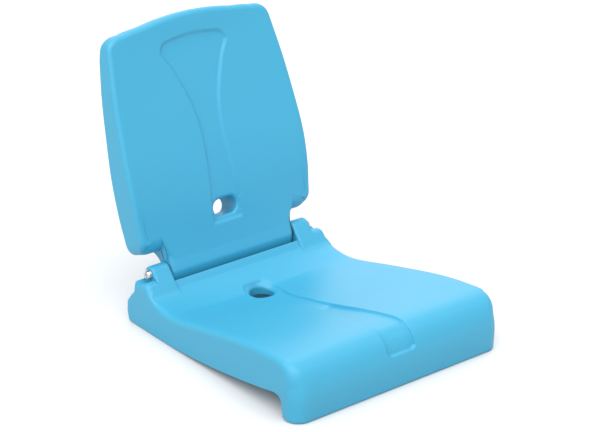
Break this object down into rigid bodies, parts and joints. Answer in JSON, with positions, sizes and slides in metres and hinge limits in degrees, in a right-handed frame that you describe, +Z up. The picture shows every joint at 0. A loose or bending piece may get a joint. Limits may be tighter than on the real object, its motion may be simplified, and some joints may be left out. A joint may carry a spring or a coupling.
{
  "type": "stadium seat",
  "caption": "Folding stadium seat: contoured blow-moulded seat with a front lip and ears, and a hinged back rest that folds forward onto it.",
  "frame": {"origin": "middle of the footprint on the surface the seat stands on", "axes": "+Z up, the seat's front faces -Y, +X across the seat"},
  "size_m": [0.4446, 0.5887, 0.5028],
  "materials": {
    "shell_plastic": "satin",
    "plated_steel": "satin",
    "stainless_steel": "polished",
    "bush_nylon": "matte",
    "insert_brass": "satin"
  },
  "bodies": {
    "seat": {"seat_shell": "shell_plastic", "hinge_bush_left": "bush_nylon", "hinge_bush_right": "bush_nylon", "fixing_inserts": "insert_brass"},
    "back": {"back_shell": "shell_plastic", "hinge_tube": "plated_steel", "hinge_bolt_left": "stainless_steel", "hinge_bolt_right": "stainless_steel", "hinge_washer_left": "stainless_steel", "hinge_washer_right": "stainless_steel"}
  },
  "joints": [
    {"name": "back_fold", "type": "hinge", "parent": "seat", "child": "back", "pos_m": [0, 0.1605, 0.092], "axis": [1, 0, 0], "range_deg": [0, 103]}
  ]
}
